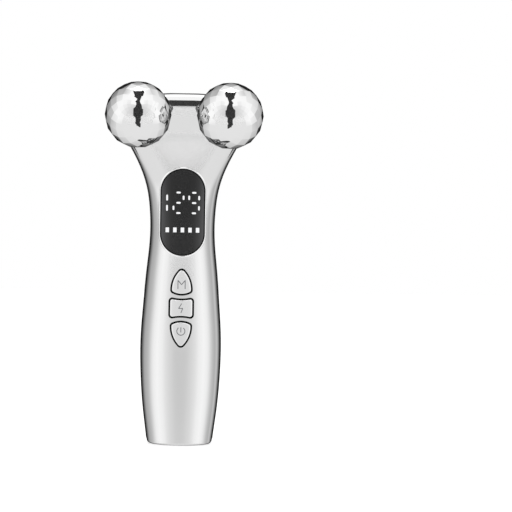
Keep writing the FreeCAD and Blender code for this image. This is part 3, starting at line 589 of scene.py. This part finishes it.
lens = merged_copy("display_window", "lens_glass")
lens.data.materials.append(LENS)
smooth_by_angle(lens, SHARP_ANGLE)
borrow_normals(lens)
dress(lens, HANDLE, "smoked_lens", "display_window")

marks = merged_copy("display_segments", "display_marks")
marks.data.materials.append(MARKS)
for spots in loose_parts(marks.data):
    shrink(marks.data, spots, MARK_MASK)
smooth_by_angle(marks, SHARP_ANGLE)
dress(marks, HANDLE, "lit_marks", "display_segments")

# Buttons with rounded edges. Their crowns follow the casing's free form, so the rings of each cap are
# laid on it point by point.

# Points on the arcs of the outlines
EDGE_POINTS = 10
CORNER_POINTS = 10
SIDE_POINTS = 14
TIP_POINTS = 8
BLOCK_CORNER_POINTS = 12
BLOCK_SIDE_POINTS = 8

# Steps round the rim of a cap, and the rings of its crown as shares of its outline
RIM_STEPS = 7
CROWN_RINGS = (0.9, 0.75, 0.55, 0.35, 0.15)


def arc(x, z, radius, start, end, count, hollow=False):
    """Points on an arc between two angles in degrees, each with its outward direction, which on a hollow
    arc is towards the arc's centre."""
    rows = []
    facing = -1 if hollow else 1
    for angle in np.radians(np.linspace(start, end, count)):
        across, up = math.cos(angle), math.sin(angle)
        rows.append((x + radius * across, z + radius * up, facing * across, facing * up))
    return rows


def mirrored(rows):
    """The same points on the left side, in the order that goes on round the outline."""
    return [(-x, z, -out_x, out_z) for x, z, out_x, out_z in reversed(rows)]


def pointed_outline():
    """A bullet: a bowed lower edge, two round corners, bowed sides and a rounded tip."""
    half = POINTED_WIDTH / 2 - KEY_CORNER
    tip = KEY_TIP - KEY_CORNER
    low = -POINTED_HEIGHT / 2 + KEY_CORNER + POINTED_DIP
    tip_height = POINTED_HEIGHT / 2 - KEY_TIP
    rise = tip_height - low
    bow = (half ** 2 + rise ** 2 - tip ** 2) / (2 * (half - tip))
    lean = math.degrees(math.atan2(rise, bow - half))
    sag = (half ** 2 + POINTED_DIP ** 2) / (2 * POINTED_DIP)
    spread = math.degrees(math.asin(half / sag))
    right = arc(0, low - POINTED_DIP + sag, sag + KEY_CORNER, -90, -90 + spread, EDGE_POINTS)
    right += arc(half, low, KEY_CORNER, -90 + spread, 0, CORNER_POINTS)[1:]
    right += arc(half - bow, low, bow + KEY_CORNER, 0, lean, SIDE_POINTS)[1:]
    right += arc(0, tip_height, KEY_TIP, lean, 90, TIP_POINTS)[1:]
    return right[:-1] + mirrored(right)[:-1]


def square_outline():
    """A block with round corners, hollowed above and below to follow its neighbours."""
    half = SQUARE_WIDTH / 2 - KEY_CORNER
    rise = SQUARE_HEIGHT / 2 - KEY_CORNER
    sag = (half ** 2 + SQUARE_DIP ** 2) / (2 * SQUARE_DIP)
    spread = math.degrees(math.asin(half / sag))
    lower = arc(0, SQUARE_DIP - rise - sag, sag - KEY_CORNER, 90, 90 - spread, EDGE_POINTS, hollow=True)
    lower += arc(half, -rise, KEY_CORNER, -90 - spread, 0, BLOCK_CORNER_POINTS)[1:]
    upper = [(x, -z, out_x, -out_z) for x, z, out_x, out_z in reversed(lower)]
    heights = np.linspace(-rise, rise, BLOCK_SIDE_POINTS)[1:-1]
    straight = [(half + KEY_CORNER, height, 1.0, 0.0) for height in heights]
    right = lower + straight + upper
    return right[:-1] + mirrored(right)[:-1]


def key_cap(name, outline):
    """A button cap: its crown follows the casing, its rim is rounded, and its wall goes inside."""
    centre = KEY_HEIGHT[name]
    count = len(outline)
    rings = [(0.0, KEY_WALL, 1.0)]
    for turn in np.radians(np.linspace(0, 90, RIM_STEPS)):
        rings.append((KEY_ROUND * (1 - math.cos(turn)), KEY_ROUND * (1 - math.sin(turn)), 1.0))
    rings.extend((KEY_ROUND, 0.0, share) for share in CROWN_RINGS)
    points = []
    for inset, depth, share in rings:
        for x, z, out_x, out_z in outline:
            across = (x - inset * out_x) * share
            up = (z - inset * out_z) * share
            spot = front_face(across, centre + up, KEY_PROUD)
            points.append(spot + Vector((0, depth * MM, 0)))
    faces = []
    for ring in range(len(rings) - 1):
        faces.extend(ring_faces(ring * count, (ring + 1) * count, count))
    last = (len(rings) - 1) * count
    points.append(front_face(0.0, centre, KEY_PROUD))
    hub = len(points) - 1
    faces.extend((last + index, last + (index + 1) % count, hub) for index in range(count))
    faces.append(tuple(reversed(range(count))))
    cap = new_object(name + "_cap", points, faces)
    cap.data.materials.append(KEY_CHROME)
    face_outwards(cap)
    smooth_by_angle(cap, KEY_SHARP_ANGLE)
    dress(cap, name + "_key", "plated_abs", name + "_button")


pointed = pointed_outline()
key_cap("mode", pointed)
key_cap("level", square_outline())
key_cap("power", [(-x, -z, -out_x, -out_z) for x, z, out_x, out_z in pointed])

# Balls with their facet edges slightly eased. Triangles that lie in one plane, within the flat angle in
# degrees, are one facet, and edges farther from the ball's centre than its skin are eased.

FACET_EASE = 0.16 * MM
BALL_SKIN = 13.5 * MM
FLAT_ANGLE = 0.5


def eased_ball(side):
    """A ball whose facets are whole faces again, with a narrow bevel along their edges."""
    ball = merged_copy(side + "_ball", side + "_faceted_ball")
    ball.data.materials.append(BALL_CHROME)
    low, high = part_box(side + "_ball")
    centre = (low + high) / 2
    pick(ball)
    bpy.ops.object.mode_set(mode="EDIT")
    bpy.ops.mesh.select_all(action="SELECT")
    bpy.ops.mesh.dissolve_limited(angle_limit=math.radians(FLAT_ANGLE))
    bpy.ops.mesh.select_all(action="DESELECT")
    bpy.ops.object.mode_set(mode="OBJECT")
    vertices = ball.data.vertices
    for edge in ball.data.edges:
        edge.select = all((vertices[index].co - centre).length > BALL_SKIN for index in edge.vertices)
    bpy.ops.object.mode_set(mode="EDIT")
    bpy.ops.mesh.select_mode(type="EDGE")
    bpy.ops.mesh.bevel(offset=FACET_EASE, segments=2, clamp_overlap=True)
    bpy.ops.object.mode_set(mode="OBJECT")
    smooth_by_angle(ball, FACET_SHARP_ANGLE)
    dress(ball, side + "_roller", "plated_abs", side + "_ball")


for side, _ in SIDES:
    eased_ball(side)

# Turned steel between the balls and the head

for side, _ in SIDES:
    for node in (side + "_collar", side + "_axle"):
        turned = merged_copy(node, node + "_turned")
        turned.data.materials.append(STEEL)
        smooth_by_angle(turned, SHARP_ANGLE)
        dress(turned, HANDLE, "steel", node)

# Lines: parting seam, rings round the lens and the marks printed on the buttons


def bead(name, runs, radius, material):
    """A round bead along each run of points, made a mesh, with its radius in millimetres."""
    curve = bpy.data.curves.new(name, "CURVE")
    curve.dimensions = "3D"
    curve.bevel_depth = radius * MM
    curve.bevel_resolution = 2
    curve.use_fill_caps = True
    for points in runs:
        spline = curve.splines.new("POLY")
        spline.points.add(len(points) - 1)
        for knot, point in zip(spline.points, points):
            knot.co = (*point, 1.0)
    obj = bpy.data.objects.new(name, curve)
    bpy.context.scene.collection.objects.link(obj)
    pick(obj)
    bpy.ops.object.convert(target="MESH")
    made = bpy.context.object
    made.data.materials.clear()
    made.data.materials.append(material)
    made.data.shade_smooth()
    return made


# The bead's radius and the depth of its middle below the casing's face, in millimetres
SEAM_RADIUS = 0.25
SEAM_SUNK = 0.09


def seam_run():
    """The line on which the casing halves meet, up one side, over the head and down the other."""
    rows = [row for row in CASING_ROWS if row[0] > BASE_EDGE / MM]
    right = [Vector(((row[1] - SEAM_SUNK) * MM, -row[3] * MM, row[0] * MM)) for row in rows]
    left = [Vector((-point.x, point.y, point.z)) for point in reversed(right)]
    return right + left


# The parting line is a black bead: painted shade for the shadow in the groove where the halves meet.
dress(bead("parting_seam", [seam_run()], SEAM_RADIUS, GAP_SHADE), HANDLE, "black_abs")

# Sections of the two rings round the lens, in millimetres: distance out from the lens's edge and height
# above the casing. The rim has a gentle inner and a steep outer slope, and one of them is bright on
# each side.
RIM_SECTION = ((0.0, -0.3), (0.0, 0.12), (0.34, 0.18), (0.64, 0.02), (0.7, -0.3))
# The inner ring is dead black: painted shade for the shadow in the gap between lens and rim.
GAP_SHADE_SECTION = ((-0.6, -0.3), (-0.58, 0.03), (-0.05, 0.05), (-0.02, -0.3))
LENS_END_POINTS = 40
LENS_SIDE_POINTS = 16


def lens_edge(grow, height):
    """Points round the lens, grown outwards in the casing's face and raised above it."""
    radius = LENS_WIDTH / 2 + grow
    along = LENS_LENGTH / 2 - LENS_WIDTH / 2
    top, bottom = LENS_HEIGHT + along, LENS_HEIGHT - along
    upper = [row[:2] for row in arc(0, top, radius, 0, 180, LENS_END_POINTS)]
    lower = [row[:2] for row in arc(0, bottom, radius, 180, 360, LENS_END_POINTS)]
    left = [(-radius, z) for z in np.linspace(top, bottom, LENS_SIDE_POINTS)[1:-1]]
    right = [(radius, z) for _, z in reversed(left)]
    return [front_face(x, z, height) for x, z in upper + left + lower + right]


def lens_ring(name, section, material):
    """A closed ring round the lens with the given section."""
    loops = [lens_edge(grow, height) for grow, height in section]
    count = len(loops[0])
    faces = []
    for row in range(len(loops)):
        faces.extend(ring_faces(row * count, (row + 1) % len(loops) * count, count))
    ring = new_object(name, [point for loop in loops for point in loop], faces)
    ring.data.materials.append(material)
    face_outwards(ring)
    smooth_by_angle(ring, RING_SHARP_ANGLE)
    return ring


dress(lens_ring("lens_bezel", RIM_SECTION, RIM_CHROME), HANDLE, "plated_abs")
dress(lens_ring("lens_gap_shade", GAP_SHADE_SECTION, GAP_SHADE), HANDLE, "black_abs")

# The strokes printed on the buttons, in millimetres: radius, spacing of points, and corners from each
# button's centre. The ring of the power sign is open at its top.
PRINT_RADIUS = 0.25
PRINT_STEP = 0.35
POWER_RING_HEIGHT = 1.4
POWER_RING_RADIUS = 1.85
POWER_RING_START = 125
POWER_RING_END = 415
POWER_RING_POINTS = 30


def printed_run(key, corners):
    """A stroke through corners given from the button's centre, laid on the button's crown."""
    points = []
    for start, end in zip(corners, corners[1:]):
        steps = max(1, round(math.dist(start, end) / PRINT_STEP))
        across = np.linspace(start[0], end[0], steps, endpoint=False)
        up = np.linspace(start[1], end[1], steps, endpoint=False)
        points.extend(zip(across, up))
    points.append(corners[-1])
    return [front_face(x, KEY_HEIGHT[key] + z, KEY_PROUD - PRINT_RADIUS / 2) for x, z in points]


power_arc = arc(0, POWER_RING_HEIGHT, POWER_RING_RADIUS, POWER_RING_START, POWER_RING_END,
                POWER_RING_POINTS)
power_ring = [row[:2] for row in power_arc]
PRINTS = {
    "mode": [[(-1.65, -3.2), (-1.65, 0.8), (0, -1.2), (1.65, 0.8), (1.65, -3.2)]],
    "level": [[(0.2, 2.1), (-1.2, -0.2), (0.7, -0.1), (-0.1, -2.2)]],
    "power": [power_ring, [(0, 0.8), (0, 3.2)]],
}
for key, strokes in PRINTS.items():
    runs = [printed_run(key, stroke) for stroke in strokes]
    dress(bead(key + "_print", runs, PRINT_RADIUS, INK), key + "_key", "black_abs")

bpy.data.objects.remove(skin)

# Finishes of the CAD pieces that stay as they are

FINISHES = {
    "white_acetal": ACETAL,
    "steel": STEEL,
    "board_laminate": LAMINATE,
    "battery_can": WRAP,
    "foam": FOAM,
    "spring_brass": BRASS,
    "lead_cover": WIRE,
    "ferrite": FERRITE,
    "clear_guide": GUIDE,
    "black_abs": BLACK_ABS,
    "plated_abs": CHROME,
    "smoked_lens": LENS,
    "lit_marks": MARKS,
}
for row in frame["record"]["subparts"]:
    node = frame["nodes"][row["node"]]
    node.data.materials.clear()
    node.data.materials.append(FINISHES[row["material_slot"]])

# Studio: pale floor, light tent, flags, softbox and camera, in metres unless a comment says otherwise

FLOOR_SIZE = 8.0
FLOOR_GAP = 0.1 * MM
FLOOR_LIFT = 0.3


def pale_floor():
    """White sweep: it keeps a soft shadow and otherwise runs into the white behind."""
    material, tree, shader = start_material("White_paper_sweep", Base_Color=linear("#F2F2F2"),
                                            Roughness=0.9, Emission_Color=linear("#FFFFFF"))
    path = add(tree, "ShaderNodeLightPath")
    seen = path.outputs["Is Camera Ray"]
    lift = add(tree, "ShaderNodeMath", {0: seen, 1: FLOOR_LIFT}, operation="MULTIPLY")
    tree.links.new(lift.outputs[0], shader.inputs["Emission Strength"])
    bpy.ops.object.select_all(action="DESELECT")
    bpy.ops.mesh.primitive_plane_add(size=FLOOR_SIZE, location=(0, 0, -FLOOR_GAP))
    floor = bpy.context.object
    floor.name = "paper_sweep"
    floor.data.materials.append(material)
    floor.visible_glossy = False


pale_floor()

# Tones of the light tent by the angle from the camera's side, as shares of half a turn
TENT = (
    (0.0, "#D4D4D4"),
    (0.11, "#D7D7D7"),
    (0.18, "#DDDDDD"),
    (0.25, "#E9E9E9"),
    (0.31, "#F7F7F7"),
    (0.40, "#FFFFFF"),
    (0.47, "#F8F8F8"),
    (0.51, "#EDEDED"),
    (0.56, "#D8D8D8"),
    (0.60, "#C9C9C9"),
    (0.65, "#C3C3C3"),
    (0.72, "#C8C8C8"),
)
TENT_GAIN = 1.15
REAR_LIGHT = linear("#F4F4F4")
REAR_ROOF = linear("#606060")
LOWER_LIGHT = linear("#E6E6E6")
TABLE_EDGE = linear("#D0D0D0")
REAR_SHEET = linear("#9A9A9A")
PAPER_WHITE = linear("#FFFFFF")

# Patches laid over the tent's tones: colour, then each limit with the values at which the patch starts
# and is full. A limit is the share of half a turn from the camera's side, or how far a direction points
# across (+X), along (+Y, away from the camera), up, aside (across either way) or steeply (up or down).
TENT_PATCHES = (
    # A lit sheet behind on the right, and its light on the cloth above
    (REAR_LIGHT, ("share", 0.66, 0.74), ("across", -0.3, 0.15)),
    (REAR_LIGHT, ("up", 0.15, 0.5), ("across", -0.3, 0.15), ("along", -0.1, 0.25)),
    # A grey sheet straight behind, which edges mirror
    (REAR_SHEET, ("share", 0.72, 0.86), ("steep", 0.75, 0.45)),
    # The edge of the table in front, and the light that its top throws up
    (TABLE_EDGE, ("up", -0.06, -0.15), ("share", 0.16, 0.08)),
    (LOWER_LIGHT, ("up", -0.3, -0.42)),
    # The dull rear of the roof, and a white strip light overhead
    (REAR_ROOF, ("along", 0.0, 0.3), ("up", 0.74, 0.97)),
    (PAPER_WHITE, ("up", 0.45, 0.55), ("aside", 0.45, 0.36), ("along", 0.7, 0.5)),
)


def light_tent():
    """White surroundings whose mirror image has the tones of a cloth tent: a softer grey behind the
    camera, bright sides, and the patches laid over them."""
    world = bpy.data.worlds.new("Light_tent")
    bpy.context.scene.world = world
    world.use_nodes = True
    tree = world.node_tree
    place = add(tree, "ShaderNodeTexCoord")
    ways = add(tree, "ShaderNodeSeparateXYZ", {0: place.outputs["Generated"]})
    across, along, up = ways.outputs["X"], ways.outputs["Y"], ways.outputs["Z"]
    towards = add(tree, "ShaderNodeMath", {0: along, 1: -1.0}, operation="MULTIPLY")
    turn = add(tree, "ShaderNodeMath", {0: towards}, operation="ARCCOSINE")
    share = add(tree, "ShaderNodeMath", {0: turn, 1: math.pi}, operation="DIVIDE")
    tone = add(tree, "ShaderNodeValToRGB", {"Fac": share}, stops=TENT)

    sources = {
        "share": share,
        "across": across,
        "along": along,
        "up": up,
        "aside": add(tree, "ShaderNodeMath", {0: across}, operation="ABSOLUTE"),
        "steep": add(tree, "ShaderNodeMath", {0: up}, operation="ABSOLUTE"),
    }
    for colour, *limits in TENT_PATCHES:
        parts = [
            add(tree, "ShaderNodeMapRange", {"Value": sources[name], "From Min": start, "From Max": full})
            for name, start, full in limits
        ]
        cover = parts[0]
        for part in parts[1:]:
            cover = add(tree, "ShaderNodeMath", {0: cover, 1: part}, operation="MULTIPLY")
        tone = add(tree, "ShaderNodeMixRGB", {"Fac": cover, "Color1": tone, "Color2": colour})

    path = add(tree, "ShaderNodeLightPath")
    glossy, through = path.outputs["Is Glossy Ray"], path.outputs["Is Transmission Ray"]
    mirrored_ray = add(tree, "ShaderNodeMath", {0: glossy, 1: through}, operation="MAXIMUM")
    seen = add(tree, "ShaderNodeMixRGB", {"Fac": mirrored_ray, "Color1": PAPER_WHITE, "Color2": tone})
    gain = add(tree, "ShaderNodeMapRange", {"Value": mirrored_ray, "To Min": 1.0, "To Max": TENT_GAIN})
    back = tree.nodes["Background"]
    tree.links.new(seen.outputs[0], back.inputs["Color"])
    tree.links.new(gain.outputs[0], back.inputs["Strength"])


light_tent()

# Dark cloth and white card, as a photographer hangs in front of chrome to give it contrast
FLAG_CLOTH, _, _ = start_material("Dark_flag_cloth", Base_Color=linear("#404040"), Roughness=1.0,
                                  Specular_IOR_Level=0.0)

# Heights at which the card starts and is full, from its foot and from its head, in millimetres
CARD_FOOT = (88, 124)
CARD_HEAD = (150, 130)


def white_card():
    """White card that thins out towards its foot and head, so that its mirror image has no hard line."""
    material, tree, shader = start_material("White_card", Base_Color=linear("#FFFFFF"), Roughness=1.0,
                                            Specular_IOR_Level=0.0)
    place = add(tree, "ShaderNodeTexCoord")
    ways = add(tree, "ShaderNodeSeparateXYZ", {0: place.outputs["Object"]})
    foot, head = [
        add(tree, "ShaderNodeMapRange", {
            "Value": ways.outputs["Z"], "From Min": start * MM, "From Max": full * MM,
        })
        for start, full in (CARD_FOOT, CARD_HEAD)
    ]
    both = add(tree, "ShaderNodeMath", {0: foot, 1: head}, operation="MULTIPLY")
    tree.links.new(both.outputs[0], shader.inputs["Alpha"])
    return material


WHITE_CARD = white_card()


def flag(name, points, material=FLAG_CLOTH):
    """A strip of cloth or card that only mirrors see, through pairs of points up its two edges."""
    faces = [(spot, spot + 1, spot + 3, spot + 2) for spot in range(0, len(points) - 2, 2)]
    cloth = new_object(name, points, faces)
    cloth.data.materials.append(material)
    cloth.visible_camera = False
    cloth.visible_diffuse = False
    cloth.visible_shadow = False


def upright(y, *rows, sign=1):
    """The edge points of a flag that stands across at y, on the side that the sign gives."""
    return [Vector((sign * x, y, z)) * MM for first, last, z in rows for x in (first, last)]


# Flags and card, in millimetres: place along Y, then rows of first x, last x and height. The head flag
# gives the dark band under the head's top, the card a light and even head, and the flags at the corners
# and the neck dark lines along the edges there.
HEAD_FLAG = (-220, (-30, 30, 130), (-30, 30, 268))
FRONT_CARD = (-120, (-105, 105, CARD_FOOT[0]), (-105, 105, CARD_HEAD[0]))
CORNER_FLAG = (-4, (48, 64, 164), (38, 52, 204))
NECK_FLAG = (-4, (33, 45, 126), (36, 48, 142))

flag("head_flag", upright(*HEAD_FLAG))
flag("front_card", upright(*FRONT_CARD), WHITE_CARD)
for side, sign in SIDES:
    flag(side + "_corner_flag", upright(*CORNER_FLAG, sign=sign))
    flag(side + "_neck_flag", upright(*NECK_FLAG, sign=sign))

CAMERA_PLACE = Vector((0.0, -0.949, 0.0878))
BALL_RADIUS = 15.0 * MM
FLAG_REACH = 20.0 * MM
FLAG_TURN = 0.6

# The dark strip that each ball mirrors, from its foot to its wide head: height above the ball's middle
# and half width, in shares of the ball's radius. FLAG_REACH is how far the cloth hangs from the ball, and
# FLAG_TURN sets it in line with the other ball, so that the other ball doesn't mirror it.
BALL_STRIP = (
    (-0.36, 0.075),
    (0.0, 0.075),
    (0.36, 0.07),
    (0.44, 0.06),
    (0.58, 0.12),
    (0.72, 0.18),
)


def ball_strip(side, sign):
    """The edge points of a ball's flag: where the camera's rays go once the ball has mirrored them."""
    low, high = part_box(side + "_ball")
    centre = (low + high) / 2
    ahead = (CAMERA_PLACE - centre).normalized()
    outward = Vector((0, 0, sign)).cross(ahead).normalized()
    upward = ahead.cross(outward).normalized() * sign
    points = []
    for height, half in BALL_STRIP:
        for across in (-half, half):
            forward = math.sqrt(1 - height ** 2 - across ** 2)
            facing = ahead * forward + outward * across + upward * height
            away = 2 * facing.dot(ahead) * facing - ahead
            reach = FLAG_REACH + FLAG_TURN * across * (2 * FLAG_REACH + BALL_RADIUS)
            points.append(centre + facing * BALL_RADIUS + away * reach)
    return points


for side, sign in SIDES:
    flag(side + "_ball_flag", ball_strip(side, sign))

SOFTBOX_WIDTH = 0.7
SOFTBOX_DEPTH = 0.5
SOFTBOX_WATTS = 2.0
SOFTBOX_PLACE = (0.0, 0.1, 1.2)

softbox_data = bpy.data.lights.new("Overhead_softbox", "AREA")
softbox_data.shape = "RECTANGLE"
softbox_data.size = SOFTBOX_WIDTH
softbox_data.size_y = SOFTBOX_DEPTH
softbox_data.energy = SOFTBOX_WATTS
softbox = bpy.data.objects.new("Overhead_softbox", softbox_data)
softbox.location = SOFTBOX_PLACE
softbox.visible_camera = False
bpy.context.scene.collection.objects.link(softbox)

# The camera's focal length in millimetres, its shift, and its roll in degrees
FOCAL_LENGTH = 142.0
CAMERA_SHIFT = 0.1445
CAMERA_ROLL = -0.9

camera_data = bpy.data.cameras.new("Camera")
camera_data.lens = FOCAL_LENGTH
camera_data.shift_x = CAMERA_SHIFT
camera = bpy.data.objects.new("Camera", camera_data)
camera.location = CAMERA_PLACE
camera.rotation_euler = (math.radians(90), math.radians(CAMERA_ROLL), 0.0)
bpy.context.scene.collection.objects.link(camera)
bpy.context.scene.camera = camera
bpy.context.scene.view_settings.view_transform = "Standard"
